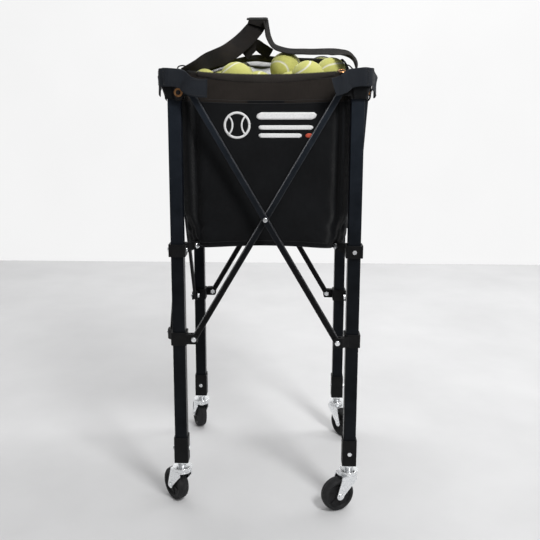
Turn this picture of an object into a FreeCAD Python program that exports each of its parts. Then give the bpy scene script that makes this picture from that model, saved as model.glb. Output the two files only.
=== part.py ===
"""Folding tennis ball travel cart: four square legs on swivel casters, a scissor X on every
side, and a fabric ball bag hung between the leg tops.  Millimetres, +Z up, floor at z = 0,
front of the cart towards -Y, origin on the floor under the middle of the cart."""
import FreeCAD
import Part
import math
import os

V = FreeCAD.Vector
os.makedirs("parts", exist_ok=True)

# ---------------------------------------------------------------- driving dimensions
LEG_AT = 176.0            # leg centre line from the middle, in X and in Y
TUBE = 25.4               # one inch square leg tube
TUBE_WALL = 1.4
TUBE_R = 2.0
LEG_LOW = 104.0
LEG_TOP = 899.0
FIT = 0.05                # radial clearance of a running fit

SLEEVE_LOW = 98.0         # plastic foot sleeve round the lower end of the leg
SLEEVE_TOP = 154.0
SLEEVE_W = 29.6
SLEEVE_FLOOR = 6.0
SLEEVE_SCREW_Z = 126.0

PIN_IN = 31.0             # pivot pin, from the leg centre towards the middle of its side
BAR_PITCH = 575.0         # pin to pin length of every scissor bar
CROSS_Z = 619.0
HALF_SPAN = LEG_AT - PIN_IN
HALF_RISE = math.sqrt((BAR_PITCH / 2) ** 2 - HALF_SPAN ** 2)
PIN_TOP_Z = CROSS_Z + HALF_RISE
PIN_LOW_Z = CROSS_Z - HALF_RISE
BAR_W = 12.7
BAR_T = 7.0
BAR_R = 1.6               # rounding of the long edges of a bar
BAR_INNER = 5.8           # near face of the inner bar, out from the leg centre
BAR_OUTER = 17.6          # near face of the outer bar
PIN_R = 3.0
SCREW_R = 2.5
HEAD_R = 5.4
HEAD_T = 3.2

RING_HALF = 16.0          # outer half width of the slider and top bracket rings
CHEEK_T = 3.0             # forked ears that hold a bar's end between two cheeks
CHEEK_GAP = 0.2
EAR_H = 20.6
EAR_END = 38.2
EAR_R = 4.5
SLOT_FROM = 23.6
EYELET_IN = 10.8          # eyelet of a corner wrap, in X from the leg centre
SLIDER_H = 27.0
TOP_RING_LOW = 851.0
TOP_CAP = 903.0
MID_Z = 554.5
MID_H = 25.0
MID_HALF = 17.0
MID_PIN = 31.7            # bag screw, in X and in Y from the leg centre
MID_PIN_Z = 557.5
MID_EAR_T = 5.0           # upright web that runs diagonally inwards to the bag screw
MID_EAR_R = 7.0
BAG_TAB_T = 1.8           # cloth tab at each bottom corner of the bag, beside the web
BAG_TAB_R = 8.0

WHEEL_R = 35.0
WHEEL_W = 24.0
TRAIL = 26.0
CROWN_LOW = 74.0
CASTER_AIM = {"fl": 130.0, "fr": 205.0, "rr": 305.0, "rl": 110.0}

BAG_LOW = 553.3
BAG_TOP = 894.0
BAG_SKIN = 2.0
BAG_HALF_TOP = 168.0
BAG_HALF_LOW = 166.0
BAG_CUT_TOP = 28.0        # corner chamfer of the bag's plan, at the rim and at the floor
BAG_CUT_LOW = 60.0
BALL_R = 33.5
LID_HALF = 165.0          # mesh lid: foot, top and front edge
LID_TOP_X = 150.0
LID_TOP_Y = 140.0
LID_TOP = 952.5
LID_FRONT = -5.0

CORNERS = ["fl", "fr", "rr", "rl"]     # anticlockwise from above, each a quarter turn on
SIDES = ["front", "right", "rear", "left"]


# ---------------------------------------------------------------- helpers
def box(x0, x1, y0, y1, z0, z1):
    return Part.makeBox(x1 - x0, y1 - y0, z1 - z0, V(x0, y0, z0))


def rod(start, direction, length, radius):
    return Part.makeCylinder(radius, length, V(*start), V(*direction))


def square_bar(half, z0, z1, radius):
    bar = box(-half, half, -half, half, z0, z1)
    if radius > 0:
        upright = [e for e in bar.Edges if abs(e.Vertexes[0].Z - e.Vertexes[-1].Z) > 1]
        bar = bar.makeFillet(radius, upright)
    return bar


def hexagon(across, start, direction, length):
    points = []
    for i in range(7):
        a = math.radians(60 * i + 30)
        r = across / 2 / math.cos(math.radians(30))
        points.append(V(r * math.cos(a), r * math.sin(a), 0))
    solid = Part.Face(Part.makePolygon(points)).extrude(V(0, 0, length))
    turn = FreeCAD.Rotation(V(0, 0, 1), V(*direction))
    solid.Placement = FreeCAD.Placement(V(*start), turn)
    return solid


def domed_head(start, direction, radius, height):
    """Round headed bolt head standing on start, rising along direction."""
    head = Part.makeCylinder(radius, height)
    rim = [e for e in head.Edges if e.BoundBox.ZMin > height - 0.01 and len(e.Vertexes) == 1]
    head = head.makeFillet(height * 0.6, rim)
    head.Placement = FreeCAD.Placement(V(*start), FreeCAD.Rotation(V(0, 0, 1), V(*direction)))
    return head


def quarter(shape, k):
    """The shape turned k quarter turns about the cart's middle."""
    turned = shape.copy()
    turned.rotate(V(0, 0, 0), V(0, 0, 1), 90.0 * k)
    return turned


def at_leg(shape):
    moved = shape.copy()
    moved.translate(V(-LEG_AT, -LEG_AT, 0))
    return moved


def fuse(shapes):
    whole = shapes[0]
    for other in shapes[1:]:
        whole = whole.fuse(other)
    return whole.removeSplitter()


def group(shapes):
    solids = []
    for shape in shapes:
        solids.extend(shape.Solids)
    return Part.makeCompound(solids)


def save(name, shape):
    solids = shape.Solids
    out = solids[0] if len(solids) == 1 else Part.makeCompound(solids)
    out.exportStep("parts/" + name + ".step")


def faceted(loops):
    """Closed solid through a row of four sided loops, every face split into triangles."""
    faces = []

    def tri(a, b, c):
        faces.append(Part.Face(Part.makePolygon([a, b, c, a])))

    for near, far in zip(loops[:-1], loops[1:]):
        for i, j in ((0, 1), (1, 2), (3, 2), (0, 3)):
            tri(near[i], near[j], far[j])
            tri(near[i], far[j], far[i])
    for loop in (loops[0][::-1], loops[-1]):
        tri(loop[0], loop[1], loop[2])
        tri(loop[0], loop[2], loop[3])
    shell = Part.makeShell(faces)
    shell.sewShape()
    return Part.Solid(shell)


# ---------------------------------------------------------------- frame, corner fl
def leg_tube():
    outer = square_bar(TUBE / 2, LEG_LOW, LEG_TOP, TUBE_R)
    inner = square_bar(TUBE / 2 - TUBE_WALL, LEG_LOW - 1, LEG_TOP + 1, 0)
    tube = outer.cut(inner)
    for z in (SLEEVE_SCREW_Z, MID_Z):
        tube = tube.cut(rod((-30, 0, z), (1, 0, 0), 60, 2.5))
    return tube


def foot_sleeve():
    body = square_bar(SLEEVE_W / 2, SLEEVE_LOW, SLEEVE_TOP, 2.5)
    body = body.cut(square_bar(TUBE / 2 + FIT, SLEEVE_LOW + SLEEVE_FLOOR, SLEEVE_TOP + 1, TUBE_R))
    body = body.cut(rod((0, 0, SLEEVE_LOW - 1), (0, 0, 1), 20, 5.0 + FIT))
    return body.cut(rod((-30, 0, SLEEVE_SCREW_Z), (1, 0, 0), 60, 2.5))


def bar_slot(outer):
    """Back and front of the slot that a bar runs in, out from the leg centre."""
    near = BAR_OUTER if outer else BAR_INNER
    return near - CHEEK_GAP, near + BAR_T + CHEEK_GAP


def forked_ear(z, outer, flare):
    """Ear in the front plane of a ring, running to +X, forked round the end of a bar. An outer
    bar's ear steps forward from the ring's face, from flare onwards."""
    back, front = bar_slot(outer)
    low = back - CHEEK_T
    high = front + CHEEK_T
    root = RING_HALF - 2.5
    outline = [(root, low), (EAR_END, low), (EAR_END, high), (root, high)]
    if outer:
        face = RING_HALF - 0.4
        start = min(root, flare - 1)
        outline = [(start, low), (EAR_END, low), (EAR_END, high), (SLOT_FROM - 3, high)]
        outline = outline + [(flare, face), (start, face)]
    corners = [V(x, -out, z - EAR_H / 2) for x, out in outline]
    ear = Part.Face(Part.makePolygon(corners + [corners[0]])).extrude(V(0, 0, EAR_H))
    tips = [e for e in ear.Edges if e.BoundBox.XMin > EAR_END - 0.01 and e.BoundBox.YLength > 1]
    ear = ear.makeFillet(EAR_R, tips)
    return ear.cut(box(SLOT_FROM, EAR_END + 1, -front, -back, z - EAR_H, z + EAR_H))


def to_left_face(shape):
    """An ear of the front plane mirrored onto the left plane of the same corner."""
    return shape.mirror(V(0, 0, 0), V(1, -1, 0))


def pin_holes(shape, z):
    shape = shape.cut(rod((PIN_IN, -40, z), (0, 1, 0), 60, PIN_R))
    return shape.cut(rod((-40, PIN_IN, z), (1, 0, 0), 60, PIN_R))


def top_bracket():
    """Cap bracket on the leg top: outer bar's ear in front, inner bar's ear on the left."""
    ring = square_bar(RING_HALF, TOP_RING_LOW, TOP_CAP, 3.0)
    ring = ring.cut(square_bar(TUBE / 2 + FIT, TOP_RING_LOW - 1, LEG_TOP + 0.1, TUBE_R))
    front = forked_ear(PIN_TOP_Z, True, SLOT_FROM - 4.2)
    left = to_left_face(forked_ear(PIN_TOP_Z, False, 0.0))
    return pin_holes(fuse([ring, front, left]), PIN_TOP_Z)


def slider():
    """Sliding ring low on the leg: inner bar's ear in front, outer bar's ear on the left."""
    z = PIN_LOW_Z
    ring = square_bar(RING_HALF, z - SLIDER_H / 2, z + SLIDER_H / 2, 3.0)
    bore = square_bar(TUBE / 2 + 0.1, z - 50, z + 50, TUBE_R)
    front = forked_ear(z, False, 0.0)
    left = to_left_face(forked_ear(z, True, 7.0))
    return pin_holes(fuse([ring, front, left]).cut(bore), z)


def diagonal(shape):
    """Turn from +X to the diagonal that runs inwards from the leg."""
    turned = shape.copy()
    turned.rotate(V(0, 0, 0), V(0, 0, 1), 45)
    return turned


def mid_bracket():
    """Fixed ring half way up, with an upright web running diagonally inwards to the bag's corner."""
    ring = square_bar(MID_HALF, MID_Z - MID_H / 2, MID_Z + MID_H / 2, 3.0)
    pin = MID_PIN * math.sqrt(2)
    root = MID_HALF + 1.2
    half = MID_EAR_T / 2
    outline = [V(root, half, MID_Z - 10), V(pin, half, MID_PIN_Z - MID_EAR_R)]
    outline = outline + [V(pin, half, MID_PIN_Z + MID_EAR_R), V(root, half, MID_Z + 11)]
    web = Part.Face(Part.makePolygon(outline + [outline[0]])).extrude(V(0, -MID_EAR_T, 0))
    web = web.fuse(rod((pin, half, MID_PIN_Z), (0, -1, 0), MID_EAR_T, MID_EAR_R))
    web = web.cut(rod((pin, 2 * half, MID_PIN_Z), (0, -1, 0), 4 * half, SCREW_R))
    body = fuse([ring, diagonal(web)]).cut(square_bar(TUBE / 2 + FIT, MID_Z - 50, MID_Z + 50, TUBE_R))
    return body.cut(rod((-30, 0, MID_Z), (1, 0, 0), 60, SCREW_R))


def pivot_bolt(z, outer):
    """Bolt through both cheeks of an ear and the bar between them, with a nut behind."""
    slot_back, slot_front = bar_slot(outer)
    face = -slot_front - CHEEK_T
    back = -slot_back + CHEEK_T
    shank = rod((PIN_IN, face, z), (0, 1, 0), back - face, PIN_R)
    head = domed_head((PIN_IN, face, z), (0, -1, 0), HEAD_R, HEAD_T)
    nut = hexagon(10.0, (PIN_IN, back, z), (0, 1, 0), 4.5)
    return fuse([shank, head, nut])


def cross_screw(z, half):
    """Screw straight through the leg and the plastic on it, along X."""
    shank = rod((-half, 0, z), (1, 0, 0), 2 * half, SCREW_R)
    head = domed_head((half, 0, z), (1, 0, 0), 4.8, 2.6)
    nut = hexagon(8.0, (-half, 0, z), (-1, 0, 0), 3.6)
    return fuse([shank, head, nut])


def bag_screw():
    """Screw across the web, with the bag's corner tab between the web and its head."""
    pin = MID_PIN * math.sqrt(2)
    head_at = -MID_EAR_T / 2 - BAG_TAB_T - CHEEK_GAP
    nut_at = MID_EAR_T / 2
    shank = rod((pin, head_at, MID_PIN_Z), (0, 1, 0), nut_at - head_at, SCREW_R)
    head = domed_head((pin, head_at, MID_PIN_Z), (0, -1, 0), 6.0, 4.0)
    nut = hexagon(10.0, (pin, nut_at, MID_PIN_Z), (0, 1, 0), 4.5)
    return diagonal(fuse([shank, head, nut]))


def leg_bolts():
    outer = pivot_bolt(PIN_TOP_Z, True)
    inner = to_left_face(pivot_bolt(PIN_TOP_Z, False))
    sleeve = cross_screw(SLEEVE_SCREW_Z, SLEEVE_W / 2)
    mid = cross_screw(MID_Z, MID_HALF)
    return group([outer, inner, sleeve, mid, bag_screw()])


def slider_bolts():
    inner = pivot_bolt(PIN_LOW_Z, False)
    outer = to_left_face(pivot_bolt(PIN_LOW_Z, True))
    return group([inner, outer])


# ---------------------------------------------------------------- scissor bars, front side
def scissor_bar(outer):
    """Front bar lying in its own plane; the outer one falls from left to right."""
    near = BAR_OUTER if outer else BAR_INNER
    y0 = -LEG_AT - near - BAR_T
    body = box(-BAR_PITCH / 2, BAR_PITCH / 2, y0, y0 + BAR_T, -BAR_W / 2, BAR_W / 2)
    for x in (-BAR_PITCH / 2, BAR_PITCH / 2):
        body = body.fuse(rod((x, y0, 0), (0, 1, 0), BAR_T, BAR_W / 2))
    body = body.removeSplitter()
    body = body.makeFillet(BAR_R, [e for e in body.Edges if abs(e.BoundBox.YLength) < 0.01])
    for x in (-BAR_PITCH / 2, 0.0, BAR_PITCH / 2):
        body = body.cut(rod((x, y0 - 1, 0), (0, 1, 0), BAR_T + 2, PIN_R + FIT))
    slope = math.degrees(math.atan2(HALF_RISE, HALF_SPAN))
    body.rotate(V(0, 0, 0), V(0, 1, 0), slope if outer else -slope)
    body.translate(V(0, 0, CROSS_Z))
    return body


def cross_rivet():
    """Rivet where the two bars of a side cross, with a washer between them."""
    front = -LEG_AT - BAR_OUTER - BAR_T - FIT
    back = -LEG_AT - BAR_INNER + FIT
    shank = rod((0, front, CROSS_Z), (0, 1, 0), back - front, PIN_R)
    head = domed_head((0, front, CROSS_Z), (0, -1, 0), 4.8, 2.2)
    tail = domed_head((0, back, CROSS_Z), (0, 1, 0), 4.8, 2.2)
    gap = BAR_OUTER - BAR_INNER - BAR_T - 2 * FIT
    washer = rod((0, -LEG_AT - BAR_OUTER + FIT, CROSS_Z), (0, 1, 0), gap, 5.5)
    return fuse([shank, head, tail, washer])


# ---------------------------------------------------------------- swivel caster, wheel to +X
def caster_stem():
    """Threaded stem with the fixed upper bearing plate, its lock nuts and the king pin head."""
    plate = rod((0, 0, 82.05), (0, 0, 1), 4.0, 20.5)
    rim = [e for e in plate.Edges if e.BoundBox.ZMin > 86.0 and len(e.Vertexes) == 1]
    plate = plate.makeFillet(2.0, rim)
    neck = rod((0, 0, 86.0), (0, 0, 1), 4.5, 9.5)
    stem = rod((0, 0, 73.9), (0, 0, 1), 42.0, 5.0)
    king = rod((0, 0, 68.5), (0, 0, 1), 5.45, 9.0)
    body = fuse([plate, neck, stem, king])
    nuts = []
    for z, height in ((90.5, 7.5), (104.0, 7.0)):
        nut = hexagon(16.0, (0, 0, z), (0, 0, 1), height)
        nuts.append(nut.cut(rod((0, 0, z - 1), (0, 0, 1), height + 2, 5.0)))
    return group([body] + nuts)


def caster_fork():
    """Pressed fork: crown, raised ball race and two arms, with the axle riveted in."""
    crown = rod((0, 0, CROWN_LOW), (0, 0, 1), 3.0, 19.0)
    crown = crown.fuse(box(-12, 22, -16.2, 16.2, CROWN_LOW, CROWN_LOW + 3))
    race = rod((0, 0, CROWN_LOW + 2), (0, 0, 1), 6.0, 18.5)
    race = race.cut(rod((0, 0, CROWN_LOW + 3), (0, 0, 1), 6.0, 12.0))
    arms = []
    for side in (-1, 1):
        y0 = 13.7 if side > 0 else -16.2
        pts = [(-12, CROWN_LOW + 1), (22, CROWN_LOW + 1), (TRAIL + 7.5, WHEEL_R + 3)]
        pts = pts + [(TRAIL, WHEEL_R - 4), (TRAIL - 7.5, WHEEL_R - 1), (-12, CROWN_LOW - 8)]
        outline = [V(x, y0, z) for x, z in pts]
        arm = Part.Face(Part.makePolygon(outline + [outline[0]])).extrude(V(0, 2.5, 0))
        arms.append(arm.fuse(rod((TRAIL, y0, WHEEL_R), (0, 1, 0), 2.5, 8.0)))
    fork = fuse([crown, race] + arms)
    fork = fork.cut(rod((0, 0, 60), (0, 0, 1), 40, 5.0 + FIT))
    fork = fork.cut(rod((TRAIL, -30, WHEEL_R), (0, 1, 0), 60, 4.0))
    axle = rod((TRAIL, -16.2, WHEEL_R), (0, 1, 0), 32.4, 4.0)
    ends = [domed_head((TRAIL, -16.2, WHEEL_R), (0, -1, 0), 5.5, 2.2)]
    ends.append(domed_head((TRAIL, 16.2, WHEEL_R), (0, 1, 0), 5.5, 2.2))
    return group([fork, fuse([axle] + ends)])


def caster_wheel():
    """Wheel turned about Y: crowned tread, dished sides and a hub between the fork arms."""
    half = WHEEL_W / 2
    r = WHEEL_R
    profile = [(4.0 + FIT, -13.6), (9.0, -13.6), (9.0, -9.0), (25.5, -8.0), (27.5, -half)]
    profile = profile + [(r - 4.5, -half), (r - 1.2, -half + 3.2), (r, -half + 8.0)]
    full = profile + [(a, -b) for a, b in reversed(profile)]
    points = [V(a, b, 0) for a, b in full]
    face = Part.Face(Part.makePolygon(points + [points[0]]))
    wheel = face.revolve(V(0, 0, 0), V(0, 1, 0), 360)
    wheel.translate(V(TRAIL, 0, WHEEL_R))
    return wheel


# ---------------------------------------------------------------- bag
def bag_plan(half, cut, z):
    pts = []
    for k in range(4):
        for x, y in ((-half + cut, -half), (half - cut, -half)):
            a = math.radians(90 * k)
            pts.append(V(x * math.cos(a) - y * math.sin(a), x * math.sin(a) + y * math.cos(a), z))
    return Part.makePolygon(pts + [pts[0]])


def bag_shell():
    """Open topped bag with folded-in corners, and an eyelet tab at each bottom corner."""
    outer = Part.makeLoft([bag_plan(BAG_HALF_LOW, BAG_CUT_LOW, BAG_LOW),
                           bag_plan(BAG_HALF_TOP, BAG_CUT_TOP, BAG_TOP)], True, True)
    skin = BAG_SKIN
    inner = Part.makeLoft([bag_plan(BAG_HALF_LOW - skin, BAG_CUT_LOW, BAG_LOW + skin),
                           bag_plan(BAG_HALF_TOP - skin, BAG_CUT_TOP, BAG_TOP + 0.01)], True, True)
    shell = outer.cut(inner)
    pin = MID_PIN * math.sqrt(2)
    near = -MID_EAR_T / 2 - CHEEK_GAP / 2
    wall = (2 * (LEG_AT - BAG_HALF_LOW) + BAG_CUT_LOW) / math.sqrt(2)
    tab = rod((pin, near, MID_PIN_Z), (0, -1, 0), BAG_TAB_T, BAG_TAB_R)
    tab = tab.fuse(box(pin, wall + skin / 2, near - BAG_TAB_T, near, BAG_LOW, MID_PIN_Z + BAG_TAB_R))
    tab = tab.cut(rod((pin, near + 1, MID_PIN_Z), (0, -1, 0), BAG_TAB_T + 2, SCREW_R + 0.4))
    tab = at_leg(diagonal(tab))
    for k in range(4):
        shell = shell.fuse(quarter(tab, k))
    shell = shell.removeSplitter()
    return shell


def bag_zip():
    """Zip tape standing on the rim of the bag."""
    outer = Part.Face(bag_plan(BAG_HALF_TOP - 0.2, BAG_CUT_TOP, BAG_TOP + 0.1))
    inner = Part.Face(bag_plan(BAG_HALF_TOP - 3.0, BAG_CUT_TOP, BAG_TOP + 0.1))
    return outer.cut(inner).extrude(V(0, 0, 4.5))


def corner_wraps():
    """Four fabric caps pulled over the leg tops, each with two hanging flaps and one tab."""
    wraps = []
    a = LEG_AT
    for k in range(4):
        cap = box(-a - 24, -a + 30, -a - 24, -a + 30, 878.5, 907.0)
        cap = cap.cut(box(-a - 22, -a + 28, -a - 22, -a + 28, 870.0, 905.0))
        room = Part.Face(bag_plan(BAG_HALF_TOP + 0.5, BAG_CUT_TOP, 870.0))
        cap = cap.cut(room.extrude(V(0, 0, BAG_TOP + 5.0 - 870.0)))
        front = box(-a + 24, -a + 61, -a - 38, -a - 36, 857.0, 893.0)
        neck = box(-a + 24, -a + 30, -a - 38, -a - 22, 884.0, 893.0)
        side = box(-a - 38, -a - 36, -a + 24, -a + 46, 860.0, 893.0)
        side_neck = box(-a - 38, -a - 22, -a + 24, -a + 30, 884.0, 893.0)
        tab = box(-a + 1.5, -a + 19.2, -a - 24, -a - 22.2, 848.0, 884.0)
        tab = tab.cut(rod((-a + EYELET_IN, -a - 40, 863.0), (0, 1, 0), 40, 6.1))
        whole = fuse([cap, front, neck, side, side_neck, tab])
        wraps.append(quarter(whole, k))
    return group(wraps)


def eyelets():
    """Brass eyelet in the hanging tab of each corner wrap."""
    rings = []
    a = LEG_AT
    for k in range(4):
        ring = rod((-a + EYELET_IN, -a - 26.0, 863.0), (0, 1, 0), 1.9, 8.4)
        ring = ring.fuse(rod((-a + EYELET_IN, -a - 26.0, 863.0), (0, 1, 0), 4.4, 6.0))
        ring = ring.cut(rod((-a + EYELET_IN, -a - 40, 863.0), (0, 1, 0), 60, 4.6))
        rings.append(quarter(ring.removeSplitter(), k))
    return group(rings)


# Balls near the rim, by where each one lies; the bedded ones are lower, the second row fills the
# gaps behind the front row and the heap lies loose in the hollows.
FRONT_ROW = [(-126.0, -127.0, 878.0), (-60.0, -124.0, 891.0), (14.0, -128.0, 864.0),
             (82.0, -127.0, 893.0)]
SECOND_ROW = [(-95.0, -67.0, 877.0), (-18.0, -70.0, 876.0), (50.0, -70.0, 875.0)]
BEDDED_Z = 850.0
BEDDED_COLUMNS = [(-110.0, (14.0, 86.0)), (-38.0, (10.0, 92.0)), (40.0, (10.0, 78.0)),
                  (130.0, (-16.0, 52.0)), (100.0, (112.0,))]
HEAP = [(38.0, -18.0, 917.5), (88.0, 34.0, 902.0), (131.0, -80.0, 902.0), (-68.0, 44.0, 900.0)]
HEAP_REAR = [(50.0, 108.0, 915.0), (-70.0, 112.0, 907.0), (120.0, 100.0, 915.0)]


def tennis_balls():
    """The top of the load; the balls below these cannot be seen and are left out."""
    places = FRONT_ROW + SECOND_ROW + HEAP + HEAP_REAR
    for x, rows in BEDDED_COLUMNS:
        places = places + [(x, y, BEDDED_Z) for y in rows]
    return group([Part.makeSphere(BALL_R, V(*place)) for place in places])


def hood(inset, drop):
    """Plain block over the rear half of the heap: sloping sides, flat top."""
    half = LID_HALF - inset
    low = BAG_TOP + 4.8
    base = [V(-half, LID_FRONT, low), V(half, LID_FRONT, low), V(half, half, low)]
    base = base + [V(-half, half, low), V(-half, LID_FRONT, low)]
    top_x = LID_TOP_X - inset
    top_y = LID_TOP_Y - inset
    high = LID_TOP - drop
    top = [V(-top_x, LID_FRONT, high), V(top_x, LID_FRONT, high), V(top_x, top_y, high)]
    top = top + [V(-top_x, top_y, high), V(-top_x, LID_FRONT, high)]
    return Part.makeLoft([Part.makePolygon(base), Part.makePolygon(top)], True, True)


def bag_lid():
    """Mesh lid, zip undone at the front, lying back over the rear half of the balls."""
    lid = hood(0.0, 0.0).cut(hood(1.6, 1.6))
    room = Part.Face(bag_plan(LID_HALF + 1.0, BAG_CUT_TOP, 880.0)).extrude(V(0, 0, 100))
    return lid.common(room).Solids[0]


# Carry strap in two lengths that meet in the slide, and its loose end hanging doubled back below
# it: where the middle of each runs, and the way its width points there.
STRAP_W = 37.0
TAIL_W = 26.0
STRAP_T = 2.0
STRAP_LEFT = [((-156, -158, 916), (0.2, 0.95, -0.15)), ((-132, -148, 924), (0.25, 0.9, -0.35)),
              ((-97, -118, 939), (0.35, 0.75, -0.55)), ((-72, -84, 953), (0.5, 0.35, -0.8)),
              ((-44, -50, 976), (0.75, 0.0, -0.6)), ((-28, -35, 992), (0.95, 0.05, -0.2)),
              ((-24, -29, 1007.5), (1.0, 0.0, 0.0))]
STRAP_RIGHT = [((-2, -28, 1009), (0.15, 1.0, 0.0)), ((2, -28, 984), (0.25, 0.97, 0.05)),
               ((12, -28, 966), (0.1, 0.97, 0.2)), ((36, -28, 956.5), (0.0, 0.97, 0.25)),
               ((80, -36, 953.5), (0.0, 0.97, 0.25)), ((138, -70, 950), (0.1, 1.0, 0.2)),
               ((158, -104, 940), (0.15, 1.0, 0.12)), ((170, -130, 926), (0.05, 1.0, 0.1)),
               ((175, -149, 911), (0.0, 1.0, 0.05))]
STRAP_TAIL = [((-50, -32, 945), (0.6, 0.3, -0.3)), ((-38, -28, 957), (0.6, 0.4, -0.3)),
              ((-25, -24, 966), (0.3, 0.5, -0.6)), ((-8, -20, 957), (0.0, 0.4, -0.8)),
              ((6, -20, 948), (-0.2, 0.4, -0.8))]


def band(run, width):
    """Flat webbing that follows a run of middles, turning its width as it goes."""
    loops = []
    last = len(run) - 1
    for i, (middle, across) in enumerate(run):
        before = V(*run[max(i - 1, 0)][0])
        after = V(*run[min(i + 1, last)][0])
        along = (after - before).normalize()
        wide = V(*across)
        wide = (wide - along * wide.dot(along)).normalize()
        thick = wide.cross(along).normalize() * (STRAP_T / 2)
        wide = wide * (width / 2)
        m = V(*middle)
        loops.append([m + wide + thick, m + wide - thick, m - wide - thick, m - wide + thick])
    return faceted(loops)


def carry_strap():
    return group([band(STRAP_LEFT, STRAP_W), band(STRAP_RIGHT, STRAP_W), band(STRAP_TAIL, TAIL_W)])


def strap_buckle():
    """Three bar slide on the top of the strap."""
    plate = box(-46, -2, -9, 9, 0, 3.5)
    plate = plate.makeFillet(1.2, plate.Edges)
    for y in (-6.5, 1.5):
        plate = plate.cut(box(-43, -5, y, y + 5.0, -1, 6))
    plate.rotate(V(-24, 0, 0), V(1, 0, 0), 12)
    plate.translate(V(2, -28, 1015.5))
    return plate


def main():
    for k, name in enumerate(CORNERS):
        for part, shape in CORNER_PARTS:
            save(part + "_" + name, quarter(at_leg(shape), k))
        leg = V(-LEG_AT, -LEG_AT, 0)
        leg = FreeCAD.Rotation(V(0, 0, 1), 90 * k).multVec(leg)
        for part, shape in CASTER_PARTS:
            placed = shape.copy()
            placed.rotate(V(0, 0, 0), V(0, 0, 1), CASTER_AIM[name])
            placed.translate(leg)
            save(part + "_" + name, placed)
    for k, side in enumerate(SIDES):
        save("bar_outer_" + side, quarter(scissor_bar(True), k))
        save("bar_inner_" + side, quarter(scissor_bar(False), k))
        save("rivet_" + side, quarter(cross_rivet(), k))
    for name, shape in BAG_PARTS:
        save(name, shape)


CORNER_PARTS = [("leg", leg_tube()), ("foot_sleeve", foot_sleeve()), ("top_bracket", top_bracket()),
                ("slider", slider()), ("mid_bracket", mid_bracket()), ("leg_bolts", leg_bolts()),
                ("slider_bolts", slider_bolts()), ("caster_stem", caster_stem())]
CASTER_PARTS = [("caster_fork", caster_fork()), ("caster_wheel", caster_wheel())]
BAG_PARTS = [("bag_shell", bag_shell()), ("bag_zip", bag_zip()), ("corner_wraps", corner_wraps()),
             ("eyelets", eyelets()), ("tennis_balls", tennis_balls()), ("bag_lid", bag_lid()),
             ("carry_strap", carry_strap()), ("strap_buckle", strap_buckle())]

main()
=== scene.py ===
"""Looks of the folding tennis ball cart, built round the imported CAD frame.
Metres, +Z up, floor at z = 0, front of the cart towards -Y."""
from math import cos, exp, hypot, pi, radians, sin, sqrt, tan
import bpy
import numpy as np
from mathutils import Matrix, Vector, noise


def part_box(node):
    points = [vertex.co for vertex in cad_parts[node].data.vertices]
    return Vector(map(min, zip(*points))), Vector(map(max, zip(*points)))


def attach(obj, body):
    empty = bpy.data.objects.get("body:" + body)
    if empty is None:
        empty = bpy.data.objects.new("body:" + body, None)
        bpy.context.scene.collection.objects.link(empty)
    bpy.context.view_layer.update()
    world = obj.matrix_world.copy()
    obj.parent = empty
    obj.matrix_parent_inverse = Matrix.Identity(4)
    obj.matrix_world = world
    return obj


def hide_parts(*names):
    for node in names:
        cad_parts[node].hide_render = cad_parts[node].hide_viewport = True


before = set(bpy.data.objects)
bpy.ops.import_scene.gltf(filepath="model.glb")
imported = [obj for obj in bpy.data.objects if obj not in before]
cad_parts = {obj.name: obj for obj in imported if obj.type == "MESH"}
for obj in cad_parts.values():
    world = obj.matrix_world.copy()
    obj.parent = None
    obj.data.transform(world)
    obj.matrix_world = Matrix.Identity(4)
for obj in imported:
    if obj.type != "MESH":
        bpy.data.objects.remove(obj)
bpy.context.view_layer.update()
MM = 0.001
CORNERS = ["fl", "fr", "rr", "rl"]
UP = np.array([0.0, 0.0, 1.0])


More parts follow.
